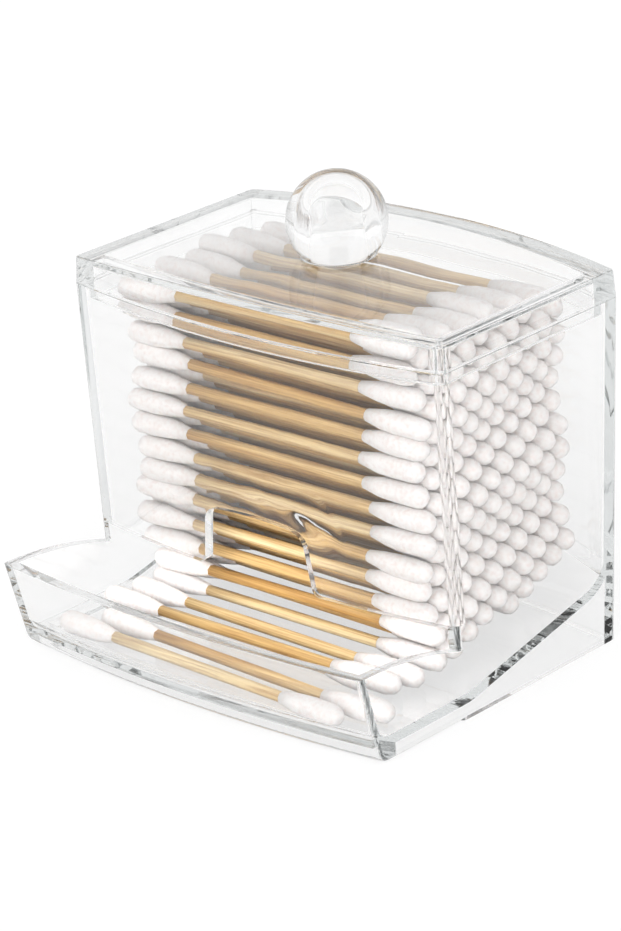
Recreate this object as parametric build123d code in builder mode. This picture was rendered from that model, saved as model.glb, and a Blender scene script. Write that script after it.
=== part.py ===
from build123d import *
import math
import os

# Cotton swabs, in millimetres: a bamboo stick with a wound bud on each end
swab_length = 75.0
stick_radius = 1.2
bud_length = 15.0
bud_radius = 2.2  # at the corners of its facets
bud_neck_taper = 6.0  # length of the taper towards the stick, and how far it steps in
bud_neck_step = 0.9
bud_tip_taper = 1.8  # the same at the tip
bud_tip_step = 0.9
facets = 5

# Stack of swabs: upright columns, each dropped into the valleys of the one before
column_count = 10
column_pitch = 4.1
bud_pitch = 4.75  # one swab above another
column_rise = 1.85  # one column above the one before, somewhat under half a pitch
stack_headroom = 0.3  # free space under the lid's sides
rest_gap = 0.2  # lowest swabs above the ramp
end_scatter = 1.1  # how unevenly the ends lie
tilt_scatter = 0.4  # how far the ends lift or swing

# Clear bin around the swabs; +Z is up from the table and the front is towards -Y
end_room = 7.3  # from a swab's tip to the side wall
stack_setback = 6.1  # rim's front corners to the first column of swabs
stack_back_room = 7.5  # last column to the rim's back corners
rim_height = 68.8  # rim above the table
rim_bow = 4.8  # bulge of the front and back walls at the rim
foot_bow = 4.0  # the same bulge at the table
side_draft = 0.4  # how far each wall leans in from the rim to the table
front_draft = 1.9
back_draft = 3.6
wall = 2.2
corner_radius = 1.2

# Tray in front of the bin
lip_reach = 25.6  # lip corners ahead of the rim's front corners
lip_height = 18.6
lip_bow = 3.0
tray_foot_reach = 21.0  # the tray's foot ahead of the rim's front corners
tray_foot_bow = 3.3
tray_foot_width = 5.0
tray_side_height = 14.3  # side walls where they reach the bin
tray_edge_radius = 3.5  # lower front edge, outside
tray_floor_radius = 2.5  # front wall to floor, inside

# Floor: flat in the tray, a ramp in the bin, curled up where it meets the back wall
floor_height = 4.6
floor_thickness = 2.1
ramp_setback = 5.0  # start of the ramp behind the rim's front corners
ramp_angle = 12.0
ramp_radius = 15.0
curl_depth = 5.5  # start of the curl ahead of the back wall
curl_angle = 55.0
curl_radius = 8.0

# Mouth under the front wall, with a finger notch arched over it
mouth_height = 18.5  # lower edge of the front wall above the table
notch_width = 28.4  # at the lower edge
notch_top_width = 25.0
notch_height = 12.2  # from the lower edge to the shoulders
notch_rise = 1.0  # arch above the shoulders
notch_shoulder_radius = 3.5
notch_foot_radius = 1.8

# Lift-off lid with a plug that drops into the bin
lid_height = 5.4  # skirt at the corners
lid_draft = 0.3
lid_arch = 1.7  # rise of the top from the sides to the middle
lid_thickness = 2.2
plug_depth = 3.0
plug_wall = 1.6
plug_clearance = 0.45

# Ball knob, cored from below
knob_radius = 9.8
knob_seat_radius = 7.1
knob_bore_radius = 5.3
knob_bore_roof = 3.0  # plastic left above the bore

# Swabs lying in the tray: shift along X, place as a share of the tray's depth, yaw in degrees
loose_places = ((-1.0, 0.876, -1.4), (5.0, 0.629, -1.7), (-2.0, 0.243, 0.8), (-0.5, -0.02, -0.3))

rim_width = swab_length + 2 * (end_room + wall)
rim_depth = stack_setback + (column_count - 1) * column_pitch + stack_back_room
rim_front = (lip_reach + lip_bow - rim_bow - rim_depth) / 2
rim_back = rim_front + rim_depth
bin_middle = (rim_front + rim_back) / 2
lid_corner = rim_height + lid_height
lid_top = lid_corner + lid_arch
stick_length = swab_length - 2 * bud_length
far = rim_width + rim_depth  # beyond every face, for cutting blocks


def lean(height):
    """Share of the draft at a height: none at the rim, all of it at the table."""
    return 1 - height / rim_height


def plan(height, half_width, front, front_bow, back, back_bow, radius=0.0):
    """Outline at a height with straight sides, bowed front and back and corners of a radius."""
    with BuildSketch(Plane.XY.offset(height)) as outline:
        with BuildLine():
            ThreePointArc((-half_width, front), (0, front - front_bow), (half_width, front))
            Line((half_width, front), (half_width, back))
            ThreePointArc((half_width, back), (0, back + back_bow), (-half_width, back))
            Line((-half_width, back), (-half_width, front))
        make_face()
        if radius:
            fillet(outline.vertices(), radius)
    return outline.sketch


def half_width(height):
    return rim_width / 2 - side_draft * lean(height)


def bin_bow(height):
    return rim_bow + (foot_bow - rim_bow) * lean(height)


def bin_front(height):
    return rim_front + front_draft * lean(height)


def bin_back(height):
    return rim_back - back_draft * lean(height)


def bin_plan(height, inset=0.0):
    """Outline of the bin at a height, moved in by inset."""
    front = bin_front(height) + inset
    back = bin_back(height) - inset
    bow = bin_bow(height)
    return plan(height, half_width(height) - inset, front, bow, back, bow, corner_radius)


def rim_plan(height, inset):
    """The rim's outline at another height, moved in by inset."""
    front = rim_front + inset
    back = rim_back - inset
    return plan(height, rim_width / 2 - inset, front, rim_bow, back, rim_bow, corner_radius)


def tray_front(height):
    return rim_front - tray_foot_reach - (lip_reach - tray_foot_reach) * height / lip_height


def tray_plan(height, inset=0.0):
    """Outline of the tray at a height, moved in by inset; it runs back into the bin."""
    bow = tray_foot_bow + (lip_bow - tray_foot_bow) * height / lip_height
    return plan(height, half_width(height) - inset, tray_front(height) + inset, bow, bin_middle, rim_bow)


def underside_plan(height):
    """Outline of the hollow under the floor, inside the walls and the tray's foot."""
    front = tray_front(0) + tray_foot_width
    back = bin_back(height) - wall
    return plan(height, half_width(height) - wall, front, tray_foot_bow, back, bin_bow(height))


ramp_start = rim_front + ramp_setback
curl_start = rim_back - wall - curl_depth


def slope_height(y, start, height, angle):
    """Height at a place along Y of a slope that passes through a start and a height."""
    return height + (y - start) * math.tan(math.radians(angle))


curl_height = slope_height(curl_start, ramp_start, floor_height, ramp_angle)
curl_middle = (ramp_angle + curl_angle) / 2
curl_fill = curl_radius * (1 / math.cos(math.radians(curl_angle - curl_middle)) - 1)  # arc inside its corner
curl_lift = curl_fill / math.cos(math.radians(curl_middle))
floor_slopes = (
    (ramp_start, floor_height, 0.0),
    (ramp_start, floor_height, ramp_angle),
    (curl_start, curl_height + curl_lift, curl_middle),
    (curl_start, curl_height, curl_angle),
)


def below(corner, before, after, drop):
    """Corner of the floor's profile, between two angles, moved down by drop square to both of its sides."""
    middle = math.radians((before + after) / 2)
    length = drop / math.cos(math.radians((after - before) / 2))
    return (corner[0] + length * math.sin(middle), corner[1] - length * math.cos(middle))


def floor_block(drop, limit):
    """Block that follows the floor, lowered by drop, on one side and reaches the limit on the other."""
    back = rim_back + rim_bow + wall
    front = rim_front - lip_reach - lip_bow - wall
    back_height = slope_height(back, curl_start, curl_height, curl_angle)
    with BuildPart() as block:
        with BuildSketch(Plane.YZ):
            with BuildLine():
                line = FilletPolyline(
                    (front, floor_height - drop),
                    below((ramp_start, floor_height), 0, ramp_angle, drop),
                    below((curl_start, curl_height), ramp_angle, curl_angle, drop),
                    (back, back_height - drop / math.cos(math.radians(curl_angle))),
                    radius=(ramp_radius, curl_radius + drop),
                )
                Polyline(line @ 1, (back, limit), (front, limit), line @ 0)
            make_face()
        extrude(amount=far, both=True)
    return block.part


def arch_block(drop):
    """Everything under the lid's arched top, lowered by drop."""
    side = rim_width / 2
    with BuildPart() as block:
        with BuildSketch(Plane.XZ):
            with BuildLine():
                ThreePointArc((-side, lid_corner - drop), (0, lid_top - drop), (side, lid_corner - drop))
                Polyline((side, lid_corner - drop), (side, 0), (-side, 0), (-side, lid_corner - drop))
            make_face()
        extrude(amount=far, both=True)
    return block.part


# Spaces inside the body: the bin down to the ramp, the tray, the mouth between them, the hollow underneath
with BuildPart() as bin_space:
    loft([bin_plan(0, wall), bin_plan(rim_height + wall, wall)], ruled=True)
    add(floor_block(0, rim_height + 2 * wall), mode=Mode.INTERSECT)

with BuildPart() as tray_space:
    loft([tray_plan(0, wall), tray_plan(lip_height + wall, wall)], ruled=True)
    add(floor_block(0, rim_height), mode=Mode.INTERSECT)
    fillet(tray_space.edges().group_by(Axis.Z)[0].sort_by(Axis.Y)[0], tray_floor_radius)

with BuildPart() as mouth_space:
    add(tray_space.part)
    split(bisect_by=Plane.XY.offset(mouth_height), keep=Keep.BOTTOM)

with BuildPart() as underside:
    loft([underside_plan(-wall), underside_plan(rim_height)], ruled=True)
    add(floor_block(floor_thickness, -wall), mode=Mode.INTERSECT)

# What is cut from the tray's side walls, which sweep down from the lip to the bin
with BuildPart() as side_sweep:
    with BuildSketch(Plane.YZ):
        with BuildLine():
            lip_corner = (tray_front(lip_height), lip_height)
            sweep_end = (bin_front(tray_side_height), tray_side_height)
            above_lip = (lip_corner[0], lip_height + wall)
            TangentArc(lip_corner, sweep_end, tangent=(1, 0))
            Polyline(sweep_end, (rim_back, tray_side_height), (rim_back, above_lip[1]), above_lip, lip_corner)
        make_face()
    extrude(amount=far, both=True)

# Body: the tray first, then the bin over it, then the spaces and the finger notch
with BuildPart() as body:
    loft([tray_plan(0), tray_plan(lip_height)], ruled=True)
    fillet(body.edges().group_by(Axis.Z)[0].sort_by(Axis.Y)[0], tray_edge_radius)
    upright = body.edges().filter_by(lambda edge: edge.bounding_box().size.Z > lip_height / 2)
    fillet(upright.sort_by(Axis.Y)[:2], corner_radius)
    add(side_sweep.part, mode=Mode.SUBTRACT)
    add(tray_space.part, mode=Mode.SUBTRACT)
    loft([bin_plan(0), bin_plan(rim_height)], ruled=True)
    for space in (bin_space, mouth_space, underside):
        add(space.part, mode=Mode.SUBTRACT)
    with BuildSketch(Plane.XZ.offset(-bin_middle)) as notch:
        foot = notch_width / 2
        top = notch_top_width / 2
        shoulder = mouth_height + notch_height
        with BuildLine():
            Line((-foot, mouth_height), (-top, shoulder))
            ThreePointArc((-top, shoulder), (0, shoulder + notch_rise), (top, shoulder))
            Polyline((top, shoulder), (foot, mouth_height), (-foot, mouth_height))
        make_face()
        fillet(notch.vertices().group_by(Axis.Y)[-1], notch_shoulder_radius)
        with Locations((0, mouth_height - notch_foot_radius)):
            Rectangle(notch_width + 4 * notch_foot_radius, 2 * notch_foot_radius)
        fillet(notch.vertices().group_by(Axis.Y)[1].sort_by(Axis.X)[1:3], notch_foot_radius)
    extrude(amount=bin_middle - rim_front + rim_bow + wall, mode=Mode.SUBTRACT)

# Lid: arched cap flush with the rim, and a plug inside it
plug_inset = wall + plug_clearance
with BuildPart() as lid_space:
    extrude(rim_plan(rim_height - plug_depth, plug_inset + plug_wall), amount=far)
    add(arch_block(lid_thickness), mode=Mode.INTERSECT)

with BuildPart() as lid:
    top_inset = lid_draft * (lid_top - rim_height) / lid_height
    loft([rim_plan(rim_height, 0), rim_plan(lid_top, top_inset)], ruled=True)
    add(arch_block(0), mode=Mode.INTERSECT)
    extrude(rim_plan(rim_height - plug_depth, plug_inset), amount=plug_depth)
    add(lid_space.part, mode=Mode.SUBTRACT)

# Knob: a ball cut flat where it is bonded to the lid, with a round-ended bore
with BuildPart() as knob:
    centre = lid_top + math.sqrt(knob_radius**2 - knob_seat_radius**2)
    bore_top = centre + knob_radius - knob_bore_roof
    bore_shoulder = bore_top - knob_bore_radius
    bulge = knob_bore_radius * math.sqrt(0.5)
    bore_mouth = (knob_bore_radius, lid_top)
    with BuildSketch(Plane.XZ.offset(-bin_middle)):
        with BuildLine():
            ThreePointArc((knob_seat_radius, lid_top), (knob_radius, centre), (0, centre + knob_radius))
            Line((0, centre + knob_radius), (0, bore_top))
            ThreePointArc((0, bore_top), (bulge, bore_shoulder + bulge), (knob_bore_radius, bore_shoulder))
            Polyline((knob_bore_radius, bore_shoulder), bore_mouth, (knob_seat_radius, lid_top))
        make_face()
    revolve(axis=Axis((0, bin_middle, 0), (0, 0, 1)))


# One swab lying along X with its middle at the origin, faceted because there are so many
def cross_section(x, radius):
    """Section of a stick or a bud at a place along the swab."""
    with BuildSketch(Plane.YZ.offset(x)) as section:
        RegularPolygon(radius, facets)
    return section.sketch


with BuildPart() as stick:
    extrude(cross_section(0, stick_radius), amount=stick_length / 2, both=True)

with BuildPart() as buds:
    extrude(cross_section(stick_length / 2, bud_radius), amount=bud_length)
    neck = buds.faces().sort_by(Axis.X)[0]
    chamfer(neck.edges(), bud_neck_step, bud_neck_taper, reference=neck)
    tip = buds.faces().sort_by(Axis.X)[-1]
    chamfer(tip.edges(), bud_tip_step, bud_tip_taper, reference=tip)
    mirror(about=Plane.YZ)


def scatter(column, row, turn):
    """Repeatable offset between -1 and 1 that differs from swab to swab."""
    return math.sin(12.9 * column + 7.7 * row + 2.3 * turn)


def ripple(column, row, turn):
    """Slow wave through the stack between -1 and 1, so that neighbours move together."""
    return math.sin(0.3 * column + 0.25 * row + turn)


def column_y(column):
    return rim_front + stack_setback + column * column_pitch


def resting(y):
    """Height of a swab's middle when it lies on the flat, the ramp or the curl."""
    heights = []
    for start, height, angle in floor_slopes:
        above = bud_radius / math.cos(math.radians(angle))
        heights.append(slope_height(y, start, height, angle) + above)
    return max(heights) + tilt_scatter


def stacked(column, row, height):
    """Place of one swab of the stack, slightly askew."""
    yaw = math.degrees(2 * tilt_scatter / swab_length) * ripple(column, row, 0)
    pitch = math.degrees(2 * tilt_scatter / swab_length) * ripple(column, row, 2)
    return Location((end_scatter * scatter(column, row, 0), column_y(column), height), (0, pitch, yaw))


def column_places(column):
    """Places of a column's swabs, from the lowest that clears the ramp to the last below the lid."""
    lowest = resting(column_y(column))
    highest = lid_corner - lid_thickness - stack_headroom - bud_radius
    height = resting(column_y(0)) + rest_gap + column * column_rise
    rows = range(math.ceil((lowest - height) / bud_pitch), math.floor((highest - height) / bud_pitch) + 1)
    return [stacked(column, row, height + row * bud_pitch) for row in rows]


def group(piece, places):
    """Copies of a piece at the places, as one group of separate solids."""
    with BuildPart() as copies:
        with Locations(*places):
            add(piece)
    return copies.part


pieces = {"body": body.part, "lid": lid.part, "knob": knob.part}
for column in range(column_count):
    places = column_places(column)
    pieces[f"sticks_column_{column + 1}"] = group(stick.part, places)
    pieces[f"buds_column_{column + 1}"] = group(buds.part, places)

for number, (shift, share, yaw) in enumerate(loose_places, 1):
    place = Location((shift, rim_front - share * tray_foot_reach, floor_height + bud_radius), (0, 0, yaw))
    pieces[f"loose_stick_{number}"] = group(stick.part, [place])
    pieces[f"loose_buds_{number}"] = group(buds.part, [place])

os.makedirs("parts", exist_ok=True)
for name, piece in pieces.items():
    piece.label = name
    export_step(piece, f"parts/{name}.step")
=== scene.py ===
import math

import bmesh
import bpy
import numpy as np
from mathutils import Matrix, Vector


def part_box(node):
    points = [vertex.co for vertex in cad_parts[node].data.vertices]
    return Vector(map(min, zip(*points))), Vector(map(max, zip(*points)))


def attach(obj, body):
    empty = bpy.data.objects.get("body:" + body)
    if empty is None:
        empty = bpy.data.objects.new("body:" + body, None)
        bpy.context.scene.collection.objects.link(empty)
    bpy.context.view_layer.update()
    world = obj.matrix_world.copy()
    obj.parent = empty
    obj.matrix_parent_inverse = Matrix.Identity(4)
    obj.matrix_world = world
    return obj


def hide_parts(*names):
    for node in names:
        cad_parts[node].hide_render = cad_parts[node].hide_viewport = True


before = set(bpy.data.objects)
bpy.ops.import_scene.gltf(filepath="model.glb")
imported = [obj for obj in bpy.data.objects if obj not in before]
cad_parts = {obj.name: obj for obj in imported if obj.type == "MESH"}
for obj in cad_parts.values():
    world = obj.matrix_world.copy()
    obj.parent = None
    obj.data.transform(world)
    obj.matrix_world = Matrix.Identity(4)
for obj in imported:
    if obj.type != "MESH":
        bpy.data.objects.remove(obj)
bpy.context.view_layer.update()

MM = 0.001
COLUMNS = range(1, 11)  # upright columns of swabs in the bin, counted from the front
LOOSE = range(1, 5)  # swabs that lie in the tray and the mouth

# Mouldings, in millimetres and degrees
EDGE = 0.35  # rounding of the edges
SHARP = 40  # edges that turn by more than this are rounded
FLAT = 0.6  # faces that turn by less than this are joined
FILM = 0.05  # air film between the lid and the rim that it rests on
BALL = 9.8  # radius of the knob's ball
SUNK = 0.2  # how deep the ball goes into the lid, where it is bonded
BORE = 5.3  # radius of the bore in the knob
BORE_SUNK = 0.1  # how deep the bore goes into the lid
ROOF = 3.0  # wall left over the bore
KNOB_FACETS = 64
BALL_RINGS, BALL_POLE = 28, 0.02  # rings of the ball, and how far short of its pole they stop, in radians
BORE_RINGS, BORE_POLE = 12, 0.03  # the same for the round end of the bore

# Swollen band of the front wall round the finger notch, in millimetres
NOTCH = (9.5, 0.0, 27.5)  # half width and top of the block that the band runs round
BAND = (5.0, 14.5)  # its inner and outer edge, outwards from that block
CREST = 0.45  # share of its width where it is highest
STRAY = 2.0  # how far its course wanders
RISE = 0.3  # its height
FRONT = (-14.5, 8.0)  # middle of the front wall's place from front to back, and how far it may be from there
FOOT = (27.0, 33.0)  # heights over which it starts

# Patterns, as repeats per millimetre
FLOW = 0.07  # slow waves of the melt's flow, about 14 mm across
WANDER = 0.15  # bends in the band's course, about 7 mm long
FIBRE = (0.06, 2.8, 2.8)  # bamboo fibres 0.36 mm wide and some 17 mm long
TONE = (0.006, 0.21, 0.21)  # change from stick to stick, every 5 mm across the stack
TUFT = 1.2  # cotton tufts about 0.8 mm across, coarser than the fibre so that they show

# Swabs, in millimetres
LIE = 0.35  # how far the front swabs' soft ends sink or rise from the even lie of the stack
STICK = 1.16  # radius of a stick
STICK_RINGS, STICK_FACETS = 4, 7
STICK_OVERLAP = 0.02  # share of its length by which a stick reaches into each bud
STICK_UNEVEN = (0.93, 1.03)  # least and greatest share of the radius
BUD_FACETS = 9
BUD_UNEVEN = (0.96, 1.02)
# distance from the neck and radius of a bud; the tip is rounded like a ball
BUD = np.array([(0, 1.25), (4.2, 2.0), (7.5, 2.25), (12.5, 2.28), (13.9, 1.94), (14.7, 1.15), (15, 0.35)])

# Table and light
TABLE = 3.0  # half of the table's side, in metres
TABLE_DROP = 0.2  # gap under the object's foot, in millimetres
TABLE_GLOW = 0.8  # share of the seen table that glows white, where the rest takes the shadow
TABLE_MIRRORED = 0.6  # strength of the table's white in mirror images
LIGHT = (0.5, -0.85, -0.35)  # where the soft light is strongest, seen from the object
LIGHT_SPREAD = (-0.3, 1.0)  # cosines from that direction between which it rises
LIGHT_RANGE = (0.8, 4.3)  # its strength on the far side and in that direction
CARD = (0.75, 0.85)  # cosines of the dark card's outer and inner edge from the line of sight
CARD_DARK = 0.05

# Camera at the photograph's viewing angle, in degrees and millimetres
AZIMUTH, ELEVATION, ROLL = 43.996, 21.663, -3.719
TARGET = (-11.077, 11.9, 30.155)
DISTANCE = 730.1
LENS = 144.0


def linear(code):
    """sRGB hex colour as linear RGBA."""
    parts = [int(code[i : i + 2], 16) / 255 for i in (1, 3, 5)]
    return [c / 12.92 if c <= 0.04045 else ((c + 0.055) / 1.055) ** 2.4 for c in parts] + [1.0]


def node(tree, kind, feeds=None, **settings):
    """Adds a node with its settings. Feeds go into its inputs, by name or number: a value, the output of
    another node, or a node, which stands for its first output."""
    made = tree.nodes.new(kind)
    for key, value in settings.items():
        setattr(made, key, value)
    for key, feed in (feeds or {}).items():
        if isinstance(feed, bpy.types.Node):
            feed = feed.outputs[0]
        if isinstance(feed, bpy.types.NodeSocket):
            tree.links.new(feed, made.inputs[key])
        else:
            made.inputs[key].default_value = feed
    return made


def material(name):
    """Empty material and its tree."""
    made = bpy.data.materials.new(name)
    made.use_nodes = True
    tree = made.node_tree
    tree.nodes.clear()
    return made, tree


# Moulded clear polystyrene: water-clear and polished, so it shows as bright edges and bent views of what is
# behind it. Long ways through it grow grey, which draws its edges
def clear_polystyrene():
    made, tree = material("moulded_clear_polystyrene")
    place = node(tree, "ShaderNodeTexCoord").outputs["Object"]
    flow = node(tree, "ShaderNodeTexNoise", {"Vector": place, "Scale": FLOW / MM, "Detail": 1.0})
    waves = node(tree, "ShaderNodeBump", {"Height": flow, "Strength": 0.05, "Distance": 0.4 * MM})
    # band where the melt met: its height goes by the distance outwards from the notch's block, which
    # wanders, and it is kept to the front wall from the notch's arch up
    side = node(tree, "ShaderNodeVectorMath", {0: place}, operation="ABSOLUTE")
    out = node(tree, "ShaderNodeVectorMath", {0: side, 1: Vector(NOTCH) * MM}, operation="SUBTRACT")
    beyond = node(tree, "ShaderNodeVectorMath", {0: out, 1: (0, 0, 0)}, operation="MAXIMUM")
    upright = node(tree, "ShaderNodeVectorMath", {0: beyond, 1: (1, 0, 1)}, operation="MULTIPLY")
    away = node(tree, "ShaderNodeVectorMath", {0: upright}, operation="LENGTH").outputs["Value"]
    bends = node(tree, "ShaderNodeTexNoise", {"Vector": place, "Scale": WANDER / MM, "Detail": 0.0})
    course = node(tree, "ShaderNodeMath", {0: bends, 1: STRAY * MM, 2: away}, operation="MULTIPLY_ADD")
    share = node(
        tree, "ShaderNodeMapRange", {"Value": course, "From Min": BAND[0] * MM, "From Max": BAND[1] * MM}
    )
    swell = node(tree, "ShaderNodeValToRGB", {"Fac": share})
    swell.color_ramp.interpolation = "EASE"
    swell.color_ramp.elements[0].color = (0, 0, 0, 1)
    swell.color_ramp.elements[1].color = (0, 0, 0, 1)
    swell.color_ramp.elements.new(CREST).color = (1, 1, 1, 1)
    parts = node(tree, "ShaderNodeSeparateXYZ", {"Vector": place}).outputs
    front = node(
        tree, "ShaderNodeMath", {0: parts["Y"], 1: FRONT[0] * MM, 2: FRONT[1] * MM}, operation="COMPARE"
    )
    over = node(
        tree,
        "ShaderNodeMapRange",
        {"Value": parts["Z"], "From Min": FOOT[0] * MM, "From Max": FOOT[1] * MM},
        interpolation_type="SMOOTHSTEP",
    )
    wall = node(tree, "ShaderNodeMath", {0: front, 1: over}, operation="MULTIPLY")
    band = node(tree, "ShaderNodeMath", {0: swell, 1: wall}, operation="MULTIPLY")
    lens = node(
        tree, "ShaderNodeBump", {"Height": band, "Normal": waves, "Strength": 1.0, "Distance": RISE * MM}
    )
    skin = node(
        tree,
        "ShaderNodeBsdfPrincipled",
        {
            "Base Color": linear("#ffffff"),
            "Normal": lens,
            "Roughness": 0.0,
            "IOR": 1.53,
            "Transmission Weight": 1.0,
        },
    )
    depth = node(tree, "ShaderNodeVolumeAbsorption", {"Color": linear("#f4f5f5"), "Density": 30.0})
    node(tree, "ShaderNodeOutputMaterial", {"Surface": skin, "Volume": depth})
    return made


# Split bamboo: straight fibres along the stick, pale straw to honey, each stick a little different
def split_bamboo():
    made, tree = material("split_bamboo")
    place = node(tree, "ShaderNodeTexCoord").outputs["Object"]
    along = node(tree, "ShaderNodeMapping", {"Vector": place, "Scale": Vector(FIBRE) / MM})
    fibre = node(tree, "ShaderNodeTexNoise", {"Vector": along, "Scale": 1.0, "Detail": 3.0})
    across = node(tree, "ShaderNodeMapping", {"Vector": place, "Scale": Vector(TONE) / MM})
    tone = node(tree, "ShaderNodeTexNoise", {"Vector": across, "Scale": 1.0, "Detail": 1.0})
    sticks = node(tree, "ShaderNodeValToRGB", {"Fac": tone})
    sticks.color_ramp.elements[0].position = 0.3
    sticks.color_ramp.elements[0].color = linear("#cf9f58")
    sticks.color_ramp.elements[1].position = 0.68
    sticks.color_ramp.elements[1].color = linear("#f5deb0")
    sticks.color_ramp.elements.new(0.48).color = linear("#ebc98c")
    streak = node(tree, "ShaderNodeValToRGB", {"Fac": fibre})
    streak.color_ramp.elements[0].position = 0.32
    streak.color_ramp.elements[0].color = linear("#b98f5e")
    streak.color_ramp.elements[1].position = 0.6
    streak.color_ramp.elements[1].color = linear("#ffffff")
    grain = node(
        tree, "ShaderNodeMix", {"Factor": 0.6, 6: sticks, 7: streak}, data_type="RGBA", blend_type="MULTIPLY"
    )
    ridge = node(tree, "ShaderNodeBump", {"Height": fibre, "Strength": 0.35, "Distance": 0.2 * MM})
    skin = node(
        tree, "ShaderNodeBsdfPrincipled", {"Base Color": grain.outputs[2], "Normal": ridge, "Roughness": 0.5}
    )
    node(tree, "ShaderNodeOutputMaterial", {"Surface": skin})
    return made


# Wound cotton: matte white fibre with a soft edge. Its tufts vary at random, and a faint warm shade is
# painted into its hollows
def wound_cotton():
    made, tree = material("wound_cotton")
    place = node(tree, "ShaderNodeTexCoord").outputs["Object"]
    tuft = node(tree, "ShaderNodeTexNoise", {"Vector": place, "Scale": TUFT / MM, "Detail": 4.0})
    fluff = node(tree, "ShaderNodeBump", {"Height": tuft, "Strength": 0.3, "Distance": 0.3 * MM})
    # painted shade: the low tufts, which are the hollows of the bump, are tinted a darker warm white, as if
    # shade fell there
    tufts_and_painted_shade = node(tree, "ShaderNodeValToRGB", {"Fac": tuft})
    tufts_and_painted_shade.color_ramp.elements[0].position = 0.25
    tufts_and_painted_shade.color_ramp.elements[0].color = linear("#f4e8e4")
    tufts_and_painted_shade.color_ramp.elements[1].position = 0.55
    tufts_and_painted_shade.color_ramp.elements[1].color = linear("#fdf9f7")
    skin = node(
        tree,
        "ShaderNodeBsdfPrincipled",
        {
            "Base Color": tufts_and_painted_shade,
            "Normal": fluff,
            "Roughness": 0.95,
            "Sheen Weight": 0.25,
            "Subsurface Weight": 0.15,
            "Subsurface Radius": (1.2 * MM, 1.1 * MM, 1.0 * MM),
        },
    )
    node(tree, "ShaderNodeOutputMaterial", {"Surface": skin})
    return made


# White table: glows as white as the backdrop where it is seen, and less in mirror images. Its paper keeps a
# faint shadow
def white_table():
    made, tree = material("white_table")
    rays = node(tree, "ShaderNodeLightPath").outputs
    # rays that pass through a clear wall count as glossy too, so they are taken off
    mirror = node(
        tree,
        "ShaderNodeMath",
        {0: rays["Is Glossy Ray"], 1: rays["Is Transmission Ray"]},
        operation="SUBTRACT",
        use_clamp=True,
    )
    strength = node(tree, "ShaderNodeMix", {"Factor": mirror, 2: 1.0, 3: TABLE_MIRRORED})
    glow = node(tree, "ShaderNodeEmission", {"Strength": strength})
    paper = node(tree, "ShaderNodeBsdfDiffuse", {"Color": linear("#f4f4f4")})
    seen = node(tree, "ShaderNodeMath", {0: rays["Diffuse Depth"], 1: 0.5}, operation="LESS_THAN")
    part = node(tree, "ShaderNodeMath", {0: seen, 1: TABLE_GLOW}, operation="MULTIPLY")
    mixed = node(tree, "ShaderNodeMixShader", {0: part, 1: paper, 2: glow})
    node(tree, "ShaderNodeOutputMaterial", {"Surface": mixed})
    return made


polystyrene = clear_polystyrene()
bamboo = split_bamboo()
cotton = wound_cotton()


def put(name, mesh, finish):
    """Object at the origin with a mesh and one material."""
    made = bpy.data.objects.new(name, mesh)
    bpy.context.scene.collection.objects.link(made)
    mesh.materials.clear()
    mesh.materials.append(finish)
    return made


def corners(mesh):
    """Vertices of a mesh as rows of x, y and z."""
    points = np.empty(len(mesh.vertices) * 3)
    mesh.vertices.foreach_get("co", points)
    return points.reshape(-1, 3)


def smooth(mesh):
    """Shades all faces of a mesh smoothly."""
    mesh.polygons.foreach_set("use_smooth", np.ones(len(mesh.polygons), bool))


def mesh_of(name, points, faces):
    """Smooth mesh from vertices and faces."""
    made = bpy.data.meshes.new(name)
    made.from_pydata(points.tolist(), [], faces)
    smooth(made)
    made.update()
    return made


def turned(starts, ends, along, radius, facets, spin):
    """Bodies of revolution, one per start and end: point (i, j) lies at start + along[i] * unit axis, and at
    radius[i] from it at the angle spin + 2 pi j / facets. Returns the vertices and faces of all together."""
    axis = ends - starts
    axis /= np.linalg.norm(axis, axis=1, keepdims=True)
    side = np.cross(axis, [0.0, 1.0, 0.0])
    side /= np.linalg.norm(side, axis=1, keepdims=True)
    up = np.cross(side, axis)
    angle = spin[:, None] + np.arange(facets) * 2 * math.pi / facets
    ring = np.cos(angle)[..., None] * side[:, None] + np.sin(angle)[..., None] * up[:, None]
    centre = starts[:, None] + along[:, :, None] * axis[:, None]
    points = centre[:, :, None] + radius[..., None, None] * ring[:, None]
    count, rings = along.shape
    first = np.arange(count)[:, None, None] * rings * facets
    i = first + np.arange(rings - 1)[None, :, None] * facets
    j = np.arange(facets)[None, None, :]
    k = (j + 1) % facets
    quads = np.stack([i + j, i + facets + j, i + facets + k, i + k], -1).reshape(-1, 4)
    low = (first[:, 0] + np.arange(facets)).reshape(-1, facets)
    high = (first[:, 0] + (rings - 1) * facets + np.arange(facets)[::-1]).reshape(-1, facets)
    return points.reshape(-1, 3), quads.tolist() + low.tolist() + high.tolist()


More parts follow.
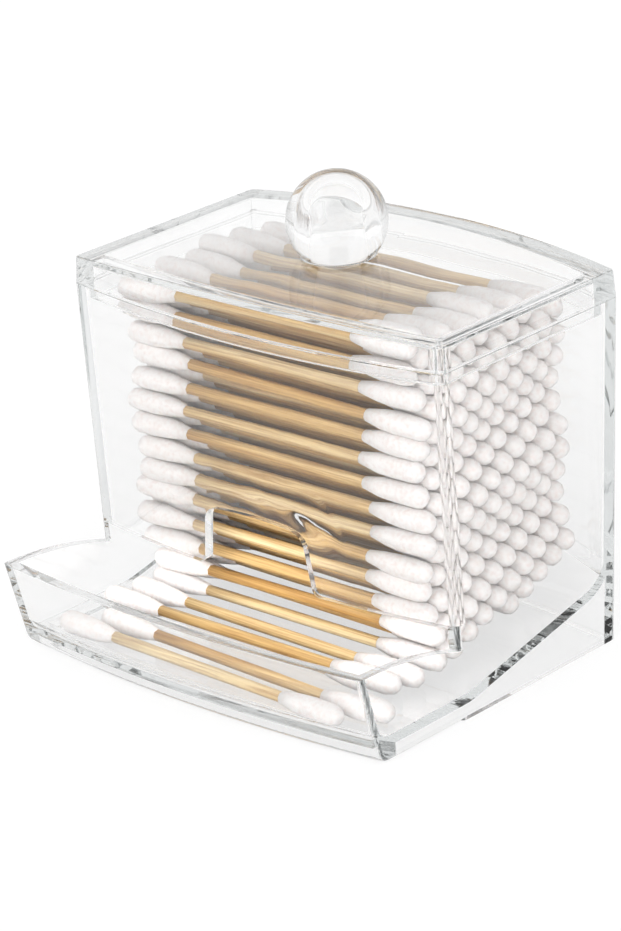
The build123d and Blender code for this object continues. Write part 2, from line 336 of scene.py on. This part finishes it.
def moulding(name, cad_node, bonded=(), bored=(), rests=None):
    """Copy of a CAD moulding: triangles merged, flat areas joined, bonded solids added and bored ones taken
    away, and sharp edges rounded. The face at the height where it rests on another piece is raised by an air
    film."""
    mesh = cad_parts[cad_node].data.copy()
    mesh.name = name
    work = bmesh.new()
    work.from_mesh(mesh)
    bmesh.ops.remove_doubles(work, verts=work.verts, dist=1e-6)
    bmesh.ops.dissolve_limit(work, angle_limit=math.radians(FLAT), verts=work.verts, edges=work.edges)
    work.to_mesh(mesh)
    work.free()
    if rests is not None:
        points = corners(mesh)
        points[abs(points[:, 2] - rests) < 1e-5, 2] += FILM * MM
        mesh.vertices.foreach_set("co", points.ravel())
    smooth(mesh)
    made = put(name, mesh, polystyrene)
    for operation, tools in (("UNION", bonded), ("DIFFERENCE", bored)):
        for tool in tools:
            joint = made.modifiers.new(operation.lower(), "BOOLEAN")
            joint.operation = operation
            joint.object = tool
    edges = made.modifiers.new("moulded_edges", "BEVEL")
    edges.width = EDGE * MM
    edges.segments = 2
    edges.limit_method = "ANGLE"
    edges.angle_limit = math.radians(SHARP)
    normals = made.modifiers.new("flat_walls", "WEIGHTED_NORMAL")
    normals.weight = 80
    shape = bpy.data.meshes.new_from_object(made.evaluated_get(bpy.context.evaluated_depsgraph_get()))
    made.modifiers.clear()
    made.data = shape
    for tool in (*bonded, *bored):
        bpy.data.objects.remove(tool)
    return made


def round_solid(name, heights, radii, place):
    """Solid turned about the upright line through a place: heights above the place, and radii at these
    heights, in millimetres."""
    along = np.array([heights]) * MM
    radius = np.array([radii]) * MM
    foot = np.array([place])
    points, faces = turned(foot, foot + (0, 0, 1), along, radius, KNOB_FACETS, np.zeros(1))
    return put(name, mesh_of(name, points, faces), polystyrene)


# Knob: a ball sunk a little into the lid, where it is bonded, and a round-ended bore in it. Both are circles
# turned about the upright, which stop just short of their poles
knob_low, knob_high = (np.array(corner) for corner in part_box("knob"))
seat = (*((knob_low + knob_high) / 2)[:2], knob_low[2])
knob_height = (knob_high[2] - knob_low[2]) / MM
ball_middle = knob_height - BALL
turn = np.linspace(math.asin((ball_middle + SUNK) / BALL), BALL_POLE - math.pi / 2, BALL_RINGS)
ball = round_solid("ball", ball_middle - BALL * np.sin(turn), BALL * np.cos(turn), seat)
turn = np.linspace(0, math.pi / 2 - BORE_POLE, BORE_RINGS)
bore_heights = knob_height - ROOF - BORE + BORE * np.sin(turn)
bore = round_solid("bore", [-BORE_SUNK, *bore_heights], [BORE, *(BORE * np.cos(turn))], seat)
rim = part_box("body")[1][2]
lid_piece = moulding("lid_and_knob", "lid", [ball], [bore], rim)
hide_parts("lid", "knob")
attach(lid_piece, "lid")
body_piece = moulding("bin_and_tray", "body")
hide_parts("body")
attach(body_piece, "holder")


def stick_ends(cad_node):
    """Left and right end points of each stick of a CAD group, in metres: the sticks differ in height, so a
    gap of a millimetre in the sorted heights parts them. Each end is the middle of its outermost corners."""
    points = corners(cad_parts[cad_node].data)
    points = points[np.argsort(points[:, 2])]
    cuts = np.flatnonzero(np.diff(points[:, 2]) > 1.0 * MM) + 1
    ends = []
    for stick in np.split(points, cuts):
        middle = stick[:, 0].mean()
        sides = [stick[stick[:, 0] < middle], stick[stick[:, 0] > middle]]
        ends.append([(side.min(0) + side.max(0)) / 2 for side in sides])
    return np.array(ends)


def swabs(label, stick_node, bud_node, lie):
    """Sticks and buds of one CAD group. A stick is a straight rod that bulges by under a tenth; a bud is the
    profile turned about the stick's line, its radii varied by a few percent from swab to swab."""
    ends = stick_ends(stick_node)
    left, right = ends[:, 0], ends[:, 1]
    count = len(ends)
    rng = np.random.default_rng(sum(map(ord, label)))
    sunk = rng.normal(0, lie * MM, (count, 1)) * (0, 0, 1)
    left, right = left - sunk, right + sunk
    length = np.linalg.norm(right - left, axis=1)
    along = np.linspace(-STICK_OVERLAP, 1 + STICK_OVERLAP, STICK_RINGS)[None] * length[:, None]
    thick = STICK * MM * rng.uniform(*STICK_UNEVEN, (count, STICK_RINGS))
    points, faces = turned(left, right, along, thick, STICK_FACETS, rng.uniform(0, 6, count))
    sticks = put(label + "_sticks", mesh_of(label + "_sticks", points, faces), bamboo)
    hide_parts(stick_node)
    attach(sticks, "holder")
    starts = np.concatenate([right, left])
    targets = np.concatenate([2 * right - left, 2 * left - right])
    reach = np.repeat(BUD[None, :, 0] * MM, 2 * count, 0)
    girth = BUD[None, :, 1] * MM * rng.uniform(*BUD_UNEVEN, (2 * count, len(BUD)))
    points, faces = turned(starts, targets, reach, girth, BUD_FACETS, rng.uniform(0, 6, 2 * count))
    buds = put(label + "_buds", mesh_of(label + "_buds", points, faces), cotton)
    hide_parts(bud_node)
    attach(buds, "holder")


for number in COLUMNS:
    swabs(f"column_{number}", f"sticks_column_{number}", f"buds_column_{number}", LIE if number == 1 else 0)
for number in LOOSE:
    swabs(f"loose_{number}", f"loose_stick_{number}", f"loose_buds_{number}", 0)

table_points = np.array([(-1, -1, 0), (1, -1, 0), (1, 1, 0), (-1, 1, 0)]) * TABLE - (0, 0, TABLE_DROP * MM)
table = put("table", mesh_of("table", table_points, [[0, 1, 2, 3]]), white_table())

# Camera: its line of sight from the azimuth and the elevation, and its roll about that line
azimuth, elevation, roll = (math.radians(angle) for angle in (AZIMUTH, ELEVATION, ROLL))
outward = math.cos(elevation)
backward = Vector((math.sin(azimuth) * outward, -math.cos(azimuth) * outward, math.sin(elevation)))
level = backward.cross(Vector((0, 0, -1))).normalized()
upward = backward.cross(level)
right_side = math.cos(roll) * level + math.sin(roll) * upward
up_side = -math.sin(roll) * level + math.cos(roll) * upward
facing = Matrix((right_side, up_side, backward)).transposed().to_4x4()
lens = bpy.data.cameras.new("camera")
lens.lens = LENS
camera = bpy.data.objects.new("camera", lens)
camera.matrix_world = Matrix.Translation((Vector(TARGET) + backward * DISTANCE) * MM) @ facing
bpy.context.scene.collection.objects.link(camera)
bpy.context.scene.camera = camera

# White studio round the object: plain white for what is seen, and a wide soft light from the front for what
# lights the object
world = bpy.data.worlds.new("studio")
bpy.context.scene.world = world
world.use_nodes = True
sky = world.node_tree
sky.nodes.clear()
rays = node(sky, "ShaderNodeLightPath").outputs
way = node(sky, "ShaderNodeTexCoord").outputs["Generated"]
toward = node(sky, "ShaderNodeVectorMath", {0: way, 1: Vector(LIGHT).normalized()}, operation="DOT_PRODUCT")
light = node(
    sky,
    "ShaderNodeMapRange",
    {
        "Value": toward.outputs["Value"],
        "From Min": LIGHT_SPREAD[0],
        "From Max": LIGHT_SPREAD[1],
        "To Min": LIGHT_RANGE[0],
        "To Max": LIGHT_RANGE[1],
    },
    interpolation_type="SMOOTHSTEP",
)
# a dark card behind the camera, which only the edges and the knob show, as fine dark lines
behind = node(sky, "ShaderNodeVectorMath", {0: way, 1: backward}, operation="DOT_PRODUCT")
card = node(
    sky,
    "ShaderNodeMapRange",
    {
        "Value": behind.outputs["Value"],
        "From Min": CARD[0],
        "From Max": CARD[1],
        "To Min": 1.0,
        "To Max": CARD_DARK,
    },
    interpolation_type="SMOOTHSTEP",
)
seen = node(sky, "ShaderNodeMath", {0: card, 1: rays["Is Camera Ray"]}, operation="MAXIMUM")
lights = node(sky, "ShaderNodeMath", {0: rays["Diffuse Depth"], 1: 0.5}, operation="GREATER_THAN")
strength = node(sky, "ShaderNodeMix", {"Factor": lights, 2: seen, 3: light})
backdrop = node(sky, "ShaderNodeBackground", {"Color": linear("#ffffff"), "Strength": strength})
node(sky, "ShaderNodeOutputWorld", {"Surface": backdrop})

# Light goes many times to and fro in the clear walls before it leaves them
bpy.context.scene.cycles.max_bounces = 64
bpy.context.scene.cycles.transmission_bounces = 48
bpy.context.scene.cycles.glossy_bounces = 48
bpy.context.scene.cycles.diffuse_bounces = 3
bpy.context.scene.view_settings.view_transform = "Standard"
